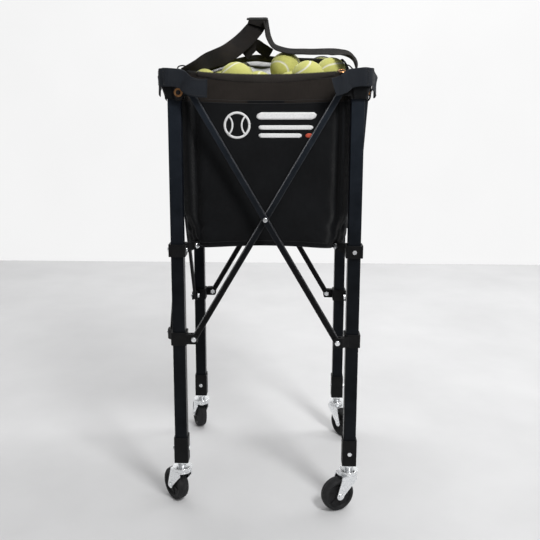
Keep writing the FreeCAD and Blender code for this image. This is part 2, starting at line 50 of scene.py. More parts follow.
# ---- materials
class Nodes:
    """A new material or world, with calls that each add a shader node and link it."""

    def __init__(self, name, kind="materials", shader="Principled BSDF", space="Object"):
        self.owner = getattr(bpy.data, kind).new(name)
        self.owner.use_nodes = True
        self.tree = self.owner.node_tree
        self.shader = self.tree.nodes[shader]
        self.coord = self.add("ShaderNodeTexCoord").outputs[space]

    def add(self, kind, values=None, **settings):
        node = self.tree.nodes.new(kind)
        for key, value in settings.items():
            setattr(node, key, value)
        for key, value in (values or {}).items():
            self.put(node.inputs[key], value)
        return node

    def put(self, socket, value):
        if isinstance(value, bpy.types.NodeSocket):
            self.tree.links.new(value, socket)
        else:
            socket.default_value = value

    def set(self, **values):
        for key, value in values.items():
            self.put(self.shader.inputs[key.replace("_", " ")], value)
        return self

    def noise(self, scale, detail=4.0, rough=0.55, vector=None):
        values = {"Vector": vector or self.coord, "Scale": scale, "Detail": detail, "Roughness": rough}
        return self.add("ShaderNodeTexNoise", values).outputs["Fac"]

    def stretched(self, x, y, z):
        return self.add("ShaderNodeMapping", {"Vector": self.coord, "Scale": (x, y, z)}).outputs["Vector"]

    def split(self, vector):
        return self.add("ShaderNodeSeparateXYZ", {"Vector": vector}).outputs

    def ramp(self, fac, low, high, at=(0.3, 0.7)):
        node = self.add("ShaderNodeValToRGB", {"Fac": fac})
        for stop, place, colour in zip(node.color_ramp.elements, at, (low, high)):
            stop.position = place
            stop.color = tuple(colour) + (1.0,)
        return node.outputs["Color"]

    def remap(self, value, start, end, low=0.0, high=1.0):
        """From low, where the value is start or less, to high, where it is end or more."""
        values = {"Value": value, "From Min": start, "From Max": end, "To Min": low, "To Max": high}
        return self.add("ShaderNodeMapRange", values).outputs["Result"]

    def span(self, fac, low, high):
        """The usual range of a noise, widened to low and high."""
        return self.remap(fac, 0.25, 0.75, low, high)

    def mix(self, fac, a, b):
        return self.add("ShaderNodeMix", {0: fac, 6: a, 7: b}, data_type="RGBA").outputs[2]

    def math(self, kind, a, b=0.0):
        return self.add("ShaderNodeMath", {0: a, 1: b}, operation=kind).outputs[0]

    def bump(self, height, distance, strength=1.0, normal=None):
        values = {"Height": height, "Distance": distance, "Strength": strength}
        if normal is not None:
            values["Normal"] = normal
        return self.add("ShaderNodeBump", values).outputs["Normal"]

    def bevelled(self, radius):
        return self.add("ShaderNodeBevel", {"Radius": radius}, samples=4).outputs["Normal"]

    def edge(self, radius):
        """1 near sharp edges, 0 on flats: where the bevelled normal leaves the true one."""
        plain = self.add("ShaderNodeNewGeometry").outputs["Normal"]
        dot = self.add("ShaderNodeVectorMath", {0: self.bevelled(radius), 1: plain}, operation="DOT_PRODUCT")
        return self.remap(self.math("SUBTRACT", 1.0, dot.outputs["Value"]), 0.02, 0.18)


# Painted light: lighter colours of the coating towards its top, where light from above falls, and the heights
# between which this painted light comes in.
PAINTED_TOP_LIGHT = ((0.0105, 0.0138, 0.0190), (0.0170, 0.0215, 0.0290))
PAINTED_LIGHT_Z = (0.50, 0.84)


def coated_metal(name, dark, light, rough, grain, worn=(0.05, 0.053, 0.060), radius=0.0012, gloss=0.09,
                 upper_edge_highlight=False):
    """Black coated aluminium: mottled, lighter towards its top as painted light from above, finely drawn, and
    worn along its edges.
    With the flag for edges that face up, the edge colour is also a painted highlight, kept mostly to edges
    that face up, where light from above catches them."""
    n = Nodes(name)
    body = n.ramp(n.noise(35.0), dark, light)
    # Painted light: the coating turns lighter towards its top, as if lit from above.
    body = n.mix(n.remap(n.split(n.coord)["Z"], *PAINTED_LIGHT_Z), body, n.ramp(n.noise(35.0), *PAINTED_TOP_LIGHT))
    # Edge colour: worn edges, and with the flag also a painted highlight, brighter and more even along the
    # edge.
    edge_wear_and_highlight = n.math("MULTIPLY", n.edge(radius), n.span(n.noise(420.0, 3.0), 0.4 if upper_edge_highlight else 0.0, 1.0))
    # Painted highlight: the edge colour is kept mostly to edges that face up, where light from above falls.
    if upper_edge_highlight:
        edge_wear_and_highlight = n.math("MULTIPLY", edge_wear_and_highlight, n.remap(n.split(n.bevelled(radius))["Z"], -0.05, 0.3, 0.12))
    n.set(Base_Color=n.mix(edge_wear_and_highlight, body, tuple(worn) + (1.0,)))
    n.set(Roughness=n.span(n.noise(160.0, 5.0), rough - 0.05, rough + 0.06))
    drawn = n.noise(1.0, 2.0, vector=n.stretched(*grain))
    n.set(Normal=n.bump(drawn, 0.00006, 0.5), Specular_IOR_Level=gloss)
    return n.owner


def moulded_plastic(name, dark, light):
    """Black glass filled nylon with a fine spark eroded grain."""
    n = Nodes(name)
    body = n.ramp(n.noise(50.0), dark, light)
    n.set(Base_Color=n.mix(n.math("MULTIPLY", n.edge(0.0010), 0.5), body, (0.04, 0.04, 0.044, 1.0)))
    n.set(Roughness=n.span(n.noise(300.0), 0.42, 0.56))
    n.set(Normal=n.bump(n.noise(1600.0, 2.0), 0.00012, 0.6), Specular_IOR_Level=0.16)
    return n.owner


def plated_steel(name):
    """Bright zinc plate: soft spangle, small scratches and dull edges."""
    n = Nodes(name)
    spangle = n.add("ShaderNodeTexVoronoi", {"Vector": n.coord, "Scale": 260.0}).outputs["Color"]
    tone = n.ramp(spangle, (0.80, 0.82, 0.84), (0.95, 0.96, 0.97), (0.0, 1.0))
    n.set(Base_Color=n.mix(n.math("MULTIPLY", n.edge(0.0008), 0.5), tone, (0.36, 0.36, 0.36, 1.0)))
    scratches = n.noise(1.0, 3.0, vector=n.stretched(900.0, 900.0, 90.0))
    n.set(Metallic=1.0, Roughness=n.span(n.noise(240.0), 0.17, 0.34))
    n.set(Normal=n.bump(scratches, 0.00002, 0.4))
    return n.owner


def rubber(name, dark, light, rough):
    """Moulded rubber or soft plastic, dusty in patches."""
    n = Nodes(name)
    dusty = n.ramp(n.noise(90.0, 6.0, 0.65), dark, light)
    n.set(Base_Color=dusty, Roughness=n.span(n.noise(200.0), rough - 0.07, rough + 0.07))
    n.set(Normal=n.bump(n.noise(1100.0, 4.0), 0.0002, 0.5), Specular_IOR_Level=0.2)
    return n.owner


def cloth(name, dark, light, pitch, worn=(0.05, 0.045, 0.04), flat=False, rough=0.82, sheen=0.08):
    """Woven black polyester. flat takes the threads from the piece's own UVs, in metres."""
    n = Nodes(name)
    if flat:
        split = n.split(n.add("ShaderNodeUVMap").outputs["UV"])
        across, along = split["Y"], split["X"]
    else:
        split = n.split(n.coord)
        across, along = n.math("ADD", split["X"], split["Y"]), split["Z"]
    turn = 2 * pi / pitch
    warp = n.math("SINE", n.math("MULTIPLY", across, turn))
    weft = n.math("SINE", n.math("MULTIPLY", along, turn))
    weave = n.math("MULTIPLY", warp, weft)
    shade = n.ramp(n.noise(14.0, 6.0, 0.6), dark, light)
    slub = n.noise(1.0, 3.0, vector=n.stretched(700.0, 700.0, 40.0))
    shade = n.mix(n.span(slub, 0.0, 0.35), shade, tuple(worn) + (1.0,))
    crossing = n.remap(weave, -1.0, 1.0, 0.75, 1.2)
    lit = n.add("ShaderNodeVectorMath", {0: shade, "Scale": crossing}, operation="SCALE")
    n.set(Base_Color=lit.outputs[0], Roughness=n.span(n.noise(120.0), rough - 0.06, rough + 0.06))
    soft = n.bump(n.noise(55.0, 3.0), 0.0012, 0.35)
    n.set(Normal=n.bump(weave, 0.00025, 0.7, soft), Specular_IOR_Level=0.14)
    n.set(Sheen_Weight=sheen, Sheen_Roughness=0.45)
    return n.owner


def felt(name):
    """Ball felt: fuzzy yellow green nap, with the bare rubber seam between the two covers."""
    n = Nodes(name)
    nap = n.ramp(n.noise(420.0, 6.0, 0.7), (0.42, 0.43, 0.095), (0.62, 0.61, 0.20), (0.2, 0.8))
    patch = n.mix(n.span(n.noise(28.0, 3.0), 0.0, 0.30), nap, (0.60, 0.56, 0.20, 1.0))
    seam = n.add("ShaderNodeAttribute", attribute_name="seam").outputs["Fac"]
    n.set(Base_Color=n.mix(seam, patch, (0.72, 0.71, 0.62, 1.0)), Roughness=0.93)
    n.set(Normal=n.bump(n.noise(900.0, 5.0, 0.7), 0.0009, 0.7), Specular_IOR_Level=0.2)
    n.set(Sheen_Weight=0.45, Sheen_Roughness=0.5, Sheen_Tint=(0.9, 0.95, 0.6, 1.0))
    return n.owner


def printed(name, low, high):
    """Screen print ink: slightly cracked over the weave."""
    n = Nodes(name)
    n.set(Base_Color=n.ramp(n.noise(500.0, 4.0), low, high), Roughness=n.span(n.noise(150.0), 0.5, 0.65))
    n.set(Normal=n.bump(n.noise(1500.0, 2.0), 0.0001, 0.5))
    return n.owner


def brass(name):
    """Tarnished brass plate."""
    n = Nodes(name)
    tone = n.ramp(n.noise(300.0, 5.0), (0.30, 0.13, 0.05), (0.62, 0.33, 0.15))
    n.set(Base_Color=tone, Metallic=1.0, Roughness=n.span(n.noise(400.0), 0.22, 0.42))
    n.set(Normal=n.bump(n.noise(900.0), 0.00005, 0.5))
    return n.owner


M_LEG = coated_metal("leg_black", (0.0028, 0.0036, 0.0050), (0.0064, 0.0078, 0.0102), 0.34, (900, 900, 12))
# The bars' bright edge colour is partly bare worn metal and partly a painted highlight along the edges that
# face up.
M_BAR = coated_metal("bar_black", (0.0018, 0.0018, 0.0021), (0.0038, 0.0038, 0.0044), 0.30, (500, 500, 60),
                     (0.72, 0.73, 0.75), 0.0034, 0.12, True)
M_PLASTIC = moulded_plastic("black_plastic", (0.0026, 0.0026, 0.0029), (0.0062, 0.0062, 0.0068))
M_ZINC = plated_steel("zinc_steel")
M_TYRE = rubber("grey_rubber", (0.011, 0.0115, 0.0125), (0.027, 0.027, 0.028), 0.66)
M_CORE = rubber("wheel_core", (0.007, 0.007, 0.0075), (0.015, 0.015, 0.016), 0.50)
M_BAG = cloth("bag_fabric", (0.0024, 0.0027, 0.0033), (0.0054, 0.0060, 0.0072), 0.0011,
              (0.0085, 0.0090, 0.0102))
M_BAND = cloth("bag_band", (0.013, 0.0105, 0.009), (0.023, 0.019, 0.0165), 0.0011, (0.036, 0.028, 0.023))
M_TAPE = cloth("zip_tape", (0.022, 0.019, 0.017), (0.036, 0.032, 0.029), 0.0009, (0.05, 0.042, 0.036))
M_WEB = cloth("webbing_black", (0.0036, 0.0046, 0.0064), (0.0195, 0.0162, 0.0138), 0.0022,
              (0.024, 0.020, 0.018), True, 0.88, 0.04)
M_WRAP = cloth("wrap_fabric", (0.0088, 0.0110, 0.0152), (0.0175, 0.0215, 0.0285), 0.0018,
               (0.033, 0.034, 0.037))
M_NET = cloth("mesh_black", (0.05, 0.05, 0.052), (0.10, 0.10, 0.104), 0.0006, (0.12, 0.12, 0.12),
              False, 0.7, 0.05)
M_TOOTH = moulded_plastic("zip_black", (0.02, 0.02, 0.02), (0.05, 0.05, 0.05))
M_THREAD = cloth("thread", (0.03, 0.03, 0.032), (0.06, 0.06, 0.062), 0.0006, (0.08, 0.075, 0.07))
M_FELT = felt("ball_felt")
M_INK = printed("print_white", (0.70, 0.70, 0.70), (0.86, 0.86, 0.86))
M_INK_RED = printed("print_red", (0.50, 0.06, 0.03), (0.62, 0.10, 0.05))
M_BRASS = brass("eyelet_brass")

FINISH = {"leg_": M_LEG, "foot_sleeve_": M_PLASTIC, "top_bracket_": M_PLASTIC, "slider_": M_PLASTIC,
          "mid_bracket_": M_PLASTIC, "leg_bolts_": M_ZINC, "slider_bolts_": M_ZINC,
          "caster_stem_": M_ZINC, "caster_fork_": M_ZINC, "bar_outer_": M_BAR, "bar_inner_": M_BAR,
          "rivet_": M_ZINC, "eyelets": M_BRASS, "strap_buckle": M_TOOTH}
for node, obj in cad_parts.items():
    best = max((key for key in FINISH if node.startswith(key)), key=len, default=None)
    if best:
        obj.data.materials.clear()
        obj.data.materials.append(FINISH[best])


# ---- mesh helpers
def new_object(name, data):
    obj = bpy.data.objects.new(name, data)
    bpy.context.scene.collection.objects.link(obj)
    return obj


def new_mesh(name, verts, faces, material, smooth=True):
    mesh = bpy.data.meshes.new(name)
    mesh.from_pydata([tuple(v) for v in verts], [], faces)
    mesh.polygons.foreach_set("use_smooth", [smooth] * len(mesh.polygons))
    mesh.materials.append(material)
    return mesh


def piece(name, verts, faces, material, body="bag", smooth=True, uvs=None):
    """A mesh object that rides on a CAD body. uvs holds one pair for each vertex."""
    mesh = new_mesh(name, verts, faces, material, smooth)
    mesh.validate()
    if uvs is not None:
        layer = mesh.uv_layers.new(name="UVMap")
        for loop in mesh.loops:
            layer.data[loop.index].uv = uvs[loop.vertex_index]
    obj = new_object(name, mesh)
    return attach(obj, body)


def modifier(obj, kind, **settings):
    made = obj.modifiers.new(kind.lower(), kind)
    for key, value in settings.items():
        setattr(made, key, value)


def thicken(obj, thick, offset):
    modifier(obj, "SOLIDIFY", thickness=thick * MM, offset=offset)


def grid_faces(rows, columns, closed=False, first=0, looped=False):
    """Quads between rows of points. closed joins each row's ends, and looped the last row to the first."""
    faces = []
    for r in range(rows if looped else rows - 1):
        a, b = first + r * columns, first + (r + 1) % rows * columns
        for c in range(columns if closed else columns - 1):
            d = (c + 1) % columns
            faces.append((a + c, a + d, b + d, b + c))
    return faces


def spline(points, per, closed=False):
    """Smooth run through the points: cubic pieces whose slopes weigh the nearer neighbour more."""
    p = [np.array(q, float) for q in points]
    n = len(p)
    gaps = [max(np.linalg.norm(p[(i + 1) % n][:3] - p[i][:3]), 1e-9) for i in range(n)]
    out = []
    for i in range(n if closed else n - 1):
        j = (i + 1) % n
        slopes = []
        for k in (i, j):
            before, after = (k - 1) % n, (k + 1) % n
            if not closed and k in (0, n - 1):
                a, b = (0, 1) if k == 0 else (n - 2, n - 1)
                slopes.append((p[b] - p[a]) / gaps[a])
            else:
                g0, g1 = gaps[before], gaps[k]
                s0, s1 = (p[k] - p[before]) / g0, (p[after] - p[k]) / g1
                slopes.append((s0 * g1 + s1 * g0) / (g0 + g1))
        g = gaps[i]
        for step in range(per):
            t = step / per
            h00, h10 = 2 * t ** 3 - 3 * t ** 2 + 1, t ** 3 - 2 * t ** 2 + t
            h01, h11 = -2 * t ** 3 + 3 * t ** 2, t ** 3 - t ** 2
            out.append(h00 * p[i] + h10 * g * slopes[0] + h01 * p[j] + h11 * g * slopes[1])
    if not closed:
        out.append(p[-1])
    return out


def unit(v):
    return v / max(np.linalg.norm(v), 1e-12)


def turn(steps):
    """Cosine and sine of each of this many even steps round a circle."""
    return [(cos(2 * pi * i / steps), sin(2 * pi * i / steps)) for i in range(steps)]


def quarter(points, k):
    """Points of corner fl or of the front side, turned to corner or side k."""
    c, s = [(1, 0), (0, 1), (-1, 0), (0, -1)][k]
    return [(x * c - y * s, x * s + y * c, z) for x, y, z in points]


def at_corner(place, k):
    """One such point, given in mm, in metres."""
    return np.array(quarter([place], k)[0]) * MM


def way_at(way, k):
    return np.array(quarter([way], k)[0], float)


def paced(path, pitch, start):
    """Even steps along a path of (place, way out): the place of each, the way along and the way out."""
    places = np.array([q[0] for q in path])
    steps = np.linalg.norm(np.diff(places, axis=0), axis=1)
    reach = np.concatenate([[0], np.cumsum(steps)])
    count = max(int(reach[-1] / pitch), 1)
    for i in range(count):
        s = (i + start) * reach[-1] / count
        k = min(max(int(np.searchsorted(reach, s)) - 1, 0), len(steps) - 1)
        f = (s - reach[k]) / max(steps[k], 1e-9)
        yield places[k] * (1 - f) + places[k + 1] * f, unit(places[k + 1] - places[k]), unit(path[k][1])


# A webbing's section as shares of its width and thickness.
WEBBING = [(-0.5, 0.0), (-0.485, 0.42), (-0.44, 0.5), (0.0, 0.5), (0.44, 0.5), (0.485, 0.42),
           (0.5, 0.0), (0.485, -0.42), (0.44, -0.5), (0.0, -0.5), (-0.44, -0.5), (-0.485, -0.42)]


def ribbon(name, run, width, thick, material, per):
    """Flat webbing along a run of (middle, way its width points), with rounded edges and UVs."""
    line = spline([list(m) + list(a) for m, a in run], per)
    mids = np.array([q[:3] for q in line]) * MM
    wides = np.array([q[3:] for q in line])
    verts, uvs, travelled = [], [], 0.0
    for i, mid in enumerate(mids):
        along = unit(mids[min(i + 1, len(mids) - 1)] - mids[max(i - 1, 0)])
        wide = unit(wides[i] - along * wides[i].dot(along))
        up = np.cross(wide, along)
        if i:
            travelled += float(np.linalg.norm(mid - mids[i - 1]))
        for a, b in WEBBING:
            verts.append(mid + wide * a * width * MM + up * b * thick * MM)
            uvs.append((travelled, a * width * MM))
    ring = len(WEBBING)
    faces = grid_faces(len(mids), ring, True)
    faces.append(tuple(range(ring)))
    faces.append(tuple(range(len(verts) - 1, len(verts) - 1 - ring, -1)))
    return piece(name, verts, faces, material, uvs=uvs)


# A stitch's section along its length: (share of the length, share of the radius).
STITCH = ((-0.5, 0.35), (-0.28, 1.0), (0.28, 1.0), (0.5, 0.35))
STITCH_SIDES, STITCH_SHARE = 6, 0.72


def stitches(name, paths, pitch=4.2 * MM, radius=0.42 * MM):
    """Rows of stitches along paths of (place, way out): small six sided grains along the seam."""
    verts, faces = [], []
    for path in paths:
        for at, along, out in paced(path, pitch, 0.5):
            side = unit(np.cross(out, along))
            first, n = len(verts), STITCH_SIDES
            for t, r in STITCH:
                for c, s in turn(n):
                    verts.append(at + along * t * pitch * STITCH_SHARE + (side * c + out * s) * radius * r)
            faces += grid_faces(len(STITCH), n, True, first)
            faces.append(tuple(range(first, first + n)))
            faces.append(tuple(range(len(verts) - 1, len(verts) - 1 - n, -1)))
    piece(name, verts, faces, M_THREAD)


def lathe(half, steps):
    """Verts and faces of a profile of (radius, along), mirrored and turned about the X axis."""
    profile = half + [(r, -x) for r, x in reversed(half)]
    verts = [(x, r * c, r * s) for c, s in turn(steps) for r, x in profile]
    return verts, grid_faces(steps, len(profile), True, looped=True)


# ---- bag shell
# Half of one side from its middle to the corner, as (along the side, out from the centre), at
# each depth from the rim, 0, to the bottom hem, 1.
BAG_LEVELS = [
    (0.00, [(0, 167), (60, 167), (110, 167), (130, 167), (141, 166), (150, 163.5), (157, 157)]),
    (0.10, [(0, 169.5), (60, 169.4), (110, 169), (128, 168), (141, 162), (151, 168), (159, 159)]),
    (0.17, [(0, 170.4), (60, 170.2), (110, 169.6), (128, 168), (140, 160.5), (150, 171.5), (161.8, 161.8)]),
    (0.45, [(0, 172.5), (60, 172), (108, 170.5), (128, 167.5), (139, 157.5), (150, 172), (162, 162)]),
    (0.78, [(0, 171.5), (60, 171.2), (106, 169.5), (127, 165.6), (139, 154), (149, 165.5), (158.5, 158.5)]),
    (0.92, [(0, 168.6), (58, 168.2), (104, 166.4), (123, 162), (134, 151.4), (140, 151.2), (145, 145)]),
    (1.00, [(0, 165.2), (56, 164.8), (100, 163), (119, 159.2), (130, 152.6), (135, 145.6), (136.6, 136.6)])]
BAG_ROWS, BAG_PER = 72, 5
RIM_Z, HEM_Z, BAND_Z = 894.0, 556.0, 846.0
CLOTH_HIGH, SAG, RIM_REACH, HEM_REACH = 335.0, 7.0, 150.0, 132.0
FLAT_TO, FLAT_FADE = 128.0, 12.0
FOLD_WIDE, FOLD_HIGH = 62.0, 85.0
PRINT_ROW = 20


def rim_z(along):
    """The rim sags between the leg tops."""
    return RIM_Z + SAG * (min(abs(along), RIM_REACH) / RIM_REACH) ** 2


def hem_z(along):
    """The bottom hem is drawn up between the four corner screws."""
    return HEM_Z + SAG * (1.0 - (min(abs(along), HEM_REACH) / HEM_REACH) ** 2)


def half_side(t):
    """The half side at depth t, between the levels above and below it."""
    for (t0, a), (t1, b) in zip(BAG_LEVELS[:-1], BAG_LEVELS[1:]):
        if t <= t1:
            f = (t - t0) / (t1 - t0)
            f = f * f * (3 - 2 * f)
            return [(p[0] + (q[0] - p[0]) * f, p[1] + (q[1] - p[1]) * f) for p, q in zip(a, b)]
    return BAG_LEVELS[-1][1]


def crease(a, z, start, end, depth, width):
    """Groove with a soft lip beside it, fading out from its start to its end."""
    run = (end[0] - start[0], end[1] - start[1])
    long = hypot(*run)
    s = ((a - start[0]) * run[0] + (z - start[1]) * run[1]) / long ** 2
    off = ((a - start[0]) * run[1] - (z - start[1]) * run[0]) / long
    if s < -0.15 or s > 1:
        return 0.0
    fade = (1 - s) ** 1.3 * min(1.0, (s + 0.15) / 0.15)
    lip = 0.6 * exp(-((off - 1.9 * width) / (1.3 * width)) ** 2)
    return depth * fade * (lip - exp(-(off / width) ** 2))


CREASES = [((138, 566), (62, 618), 4.6, 6.5), ((139, 580), (92, 676), 3.6, 7.5),
           ((132, 560), (36, 575), 2.4, 6.0), ((140, 884), (88, 834), 2.2, 7.5),
           ((138, 640), (100, 760), 2.2, 9.0), ((139, 706), (112, 820), 1.6, 8.0),
           ((126, 596), (20, 640), 1.6, 11.0)]


def swell(side, a, z):
    """How far the cloth stands out from its plain surface, in mm: folds, load and seams."""
    out = 0.0
    for sign in (-1, 1):
        for i, (start, end, depth, width) in enumerate(CREASES):
            vary = 1.0 + 0.45 * noise.noise(Vector((side * 3.1 + sign, i * 1.7, 0.3)))
            out += crease(sign * a, z, start, end, depth * vary, width)
    at = Vector((a / FOLD_WIDE, z / FOLD_HIGH, side * 5.3))
    out += 1.9 * noise.noise(at) + 0.7 * noise.noise(at * 3.1)
    out += 0.7 / (1 + exp(-(z - BAND_Z) / 0.8))
    out -= 0.8 * exp(-((z - hem_z(a) - 8.5) / 1.4) ** 2)
    return out


def bag_ring(t):
    """One level of the bag, as places in the plane."""
    half = half_side(t)
    side = [(-a, -d, 0.0) for a, d in reversed(half[1:])] + [(a, -d, 0.0) for a, d in half[:-1]]
    ring = [p for k in range(4) for p in quarter(side, k)]
    return [(p[0], p[1]) for p in spline(ring, BAG_PER, True)]


def side_of(x, y):
    """Which side a place is on, and how far along it: anticlockwise, from the side's middle."""
    if abs(y) >= abs(x):
        return (0, x) if y < 0 else (2, -x)
    return (1, y) if x > 0 else (3, -y)


def bag_surface():
    """Rows of places on the bag's outside, from the rim to the hem."""
    rows = []
    for r in range(BAG_ROWS + 1):
        t = r / BAG_ROWS
        plan = bag_ring(t)
        row = []
        for i, (x, y) in enumerate(plan):
            side, along = side_of(x, y)
            z = rim_z(along) + (hem_z(along) - rim_z(along)) * t
            before, after = plan[i - 1], plan[(i + 1) % len(plan)]
            out = unit(np.array([after[1] - before[1], before[0] - after[0], 0.0]))
            amount = swell(side, along, z) * (1.0 - min(1.0, max(0.0, (abs(along) - FLAT_TO) / FLAT_FADE)))
            row.append(np.array([x, y, z]) + out * amount * (0.3 + 0.7 * min(1.0, r / 3.0)))
        rows.append(row)
    return rows


BAG = bag_surface()
BAG_N = len(BAG[0])


def on_bag(row, i, proud=0.0):
    """A place on the bag's outside and the way out from it, in mm; row and i may be fractions."""
    r0 = min(int(row), BAG_ROWS - 1)
    i0 = int(i // 1.0)
    fr, fi = row - r0, i - i0
    a, b = BAG[r0][i0 % BAG_N], BAG[r0][(i0 + 1) % BAG_N]
    c, d = BAG[r0 + 1][i0 % BAG_N], BAG[r0 + 1][(i0 + 1) % BAG_N]
    place = (a * (1 - fi) + b * fi) * (1 - fr) + (c * (1 - fi) + d * fi) * fr
    out = unit(np.cross(c - a, b - a))
    return place + out * proud, out


def front_spot(x, z, proud):
    """The place on the front panel at this x and height."""
    lo, hi, middle = 0.0, float(BAG_ROWS), BAG[BAG_ROWS // 2]
    columns = [i for i in range(BAG_N) if middle[i][1] < -150 and abs(middle[i][0]) < 140]
    i = float(min(columns, key=lambda c: abs(BAG[PRINT_ROW][c][0] - x)))
    for _ in range(14):
        row = (lo + hi) / 2
        place, _ = on_bag(row, i)
        step = on_bag(row, i + 0.5)[0][0] - on_bag(row, i - 0.5)[0][0]
        i += (x - place[0]) / step
        lo, hi = (row, hi) if place[2] > z else (lo, row)
    return on_bag((lo + hi) / 2, i, proud)


BOTTOM_RINGS = (0.985, 0.94, 0.84, 0.66, 0.44, 0.22)
BOTTOM_Z, BOTTOM_SAG = 557.5, 1.2


def build_bag():
    """The bag's sides and its bottom, whose rings are shares of the hem, in two colours of cloth."""
    verts = [p * MM for row in BAG for p in row]
    for share in BOTTOM_RINGS:
        dip = BOTTOM_Z - BOTTOM_SAG * (1 - share)
        for p in BAG[-1]:
            x, y = p[0] * share, p[1] * share
            ripple = 0.8 * noise.noise(Vector((x / 45.0, y / 45.0, 0.0)))
            verts.append(np.array([x, y, dip + (p[2] - dip) * share ** 9 + ripple]) * MM)
    faces = grid_faces(BAG_ROWS + 1 + len(BOTTOM_RINGS), BAG_N, True)
    centre = len(verts)
    verts.append((0.0, 0.0, 0.5565))
    first = centre - BAG_N
    faces += [(first + i, first + (i + 1) % BAG_N, centre) for i in range(BAG_N)]
    faces = [tuple(reversed(f)) for f in faces]
    bag = piece("bag_shell_cloth", verts, faces, M_BAG)
    bag.data.materials.append(M_BAND)
    for poly in bag.data.polygons:
        if poly.center[2] > BAND_Z * MM and abs(poly.center[0]) + abs(poly.center[1]) > 0.1:
            poly.material_index = 1
    thicken(bag, 1.3, -1.0)
    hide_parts("bag_shell")


def rim_path(t, proud):
    """Closed path round the bag at depth t: (place, way out) in metres."""
    return [(place * MM, out) for place, out in (on_bag(t * BAG_ROWS, i, proud) for i in range(BAG_N))]


def tube(name, path, radius, material, squash=1.0, closed=True):
    """Round or flattened tube along a path of (place, way out)."""
    verts, n, sides = [], len(path), 8
    for i, (at, out) in enumerate(path):
        a = path[(i - 1) % n][0] if closed or i else path[i][0]
        b = path[(i + 1) % n][0] if closed or i < n - 1 else path[i][0]
        along = unit(b - a)
        up = unit(np.cross(along, out))
        flat = unit(np.cross(up, along))
        verts += [at + up * c * radius + flat * s * radius * squash for c, s in turn(sides)]
    faces = grid_faces(n, sides, True, looped=closed)
    if not closed:
        faces += [tuple(range(sides - 1, -1, -1)), tuple(range((n - 1) * sides, n * sides))]
    piece(name, verts, faces, material)


def bag_trim():
    """Rim binding, hem piping, and the stitching of the band, the hem and the rim."""
    tube("bag_rim_binding", rim_path(0.0, -0.6), 2.3 * MM, M_TAPE, squash=0.75)
    tube("bag_hem_piping", rim_path(1.0, -0.2), 1.9 * MM, M_BAG)
    seams = [((RIM_Z + 2 - z) / (RIM_Z - HEM_Z - 1), 0.25) for z in (BAND_Z - 2.6, BAND_Z + 3.2)]
    seams += [(1.0 - 8.5 / CLOTH_HIGH, 0.6), (8.0 / CLOTH_HIGH, 0.5)]
    rows = [rim_path(t, proud) for t, proud in seams]
    stitches("bag_stitching", [r + r[:1] for r in rows])


# The tape's fold as (share of its drop, how proud, how far down), and a tooth's levels as
# (height, half width, half depth).
TAPE_FOLD = ((0, 1.2, -2.6), (0.02, 2.7, -2.2), (0.35, 3.2, 0), (0.7, 2.5, 0), (0.97, 1.4, 0), (1, 0.5, 0))
TOOTH = ((-1.8, 0.8, 0.9), (0.4, 0.8, 0.9), (1.4, 0.55, 0.75), (1.9, 0.3, 0.5))
TOOTH_PITCH, TOOTH_LIFT = 2.7 * MM, 3.0


def zip_parts():
    """Outer zip tape folded over the front of the rim, and its row of teeth round the rim."""
    verts, uvs = [], []
    columns = [i for i in range(BAG_N) if BAG[0][i][1] < -160 and abs(BAG[0][i][0]) < 134]
    columns.sort(key=lambda i: BAG[0][i][0])
    for i in columns:
        place, out = on_bag(0.0, i)
        share = 1 - (place[0] / 138.0) ** 2
        drop = 5.0 + 8.5 * max(share, 0.0)
        for f, proud, down in TAPE_FOLD:
            at = place + out * proud
            at[2] = place[2] + 1.0 - drop * f - down
            verts.append(at * MM)
            uvs.append((place[0] * MM, drop * f * MM))
    faces = grid_faces(len(columns), len(TAPE_FOLD))
    tape = piece("zip_tape_front", verts, faces, M_TAPE, uvs=uvs)
    thicken(tape, 0.9, -1.0)
    verts, faces, path = [], [], rim_path(0.0, 0.4)
    for at, along, out in paced(path + path[:1], TOOTH_PITCH, 0.0):
        first = len(verts)
        for z, w, d in TOOTH:
            for a, b in ((-1, -1), (1, -1), (1, 1), (-1, 1)):
                verts.append(at + (UP * (z + TOOTH_LIFT) + along * a * w + out * b * d) * MM)
        faces += grid_faces(len(TOOTH), 4, True, first)
        faces.append((first + 15, first + 14, first + 13, first + 12))
    teeth = piece("zip_teeth", verts, faces, M_TOOTH, smooth=False)
    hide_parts("bag_zip")


build_bag()
bag_trim()
zip_parts()


# ---- print on the front panel
def decal(name, shapes, material):
    """Flat printed shapes that follow the front panel. A shape is a grid of (x, z) places."""
    verts, faces = [], []
    for grid in shapes:
        first, rows, columns = len(verts), len(grid), len(grid[0])
        verts += [front_spot(x, z, 0.45)[0] * MM for row in grid for x, z in row]
        faces += [tuple(reversed(f)) for f in grid_faces(rows, columns, False, first)]
    made = piece(name, verts, faces, material)
    thicken(made, 0.25, 0.0)


def bar_shape(x0, x1, z0, z1, lean=0.0):
    """Bar with rounded ends; lean slants it."""
    columns = max(int((x1 - x0) / 5.0), 3)
    high = z1 - z0
    out = []
    for j in range(5):
        z = z0 + high * j / 4
        pull = high / 2 * (1 - sqrt(max(0.0, 1 - (2 * j / 4 - 1) ** 2)))
        slide = lean * j / 4
        out.append([(x0 + pull + slide + (x1 - x0 - 2 * pull) * i / columns, z) for i in range(columns + 1)])
    return out


def arc_shape(cx, cz, radius, wide, start, end, steps):
    """Stroke of a circle between two angles in degrees."""
    turns = [radians(start + (end - start) * i / steps) for i in range(steps + 1)]
    return [[(cx + r * cos(a), cz + r * sin(a)) for a in turns]
            for r in (radius - wide / 2, radius + wide / 2)]


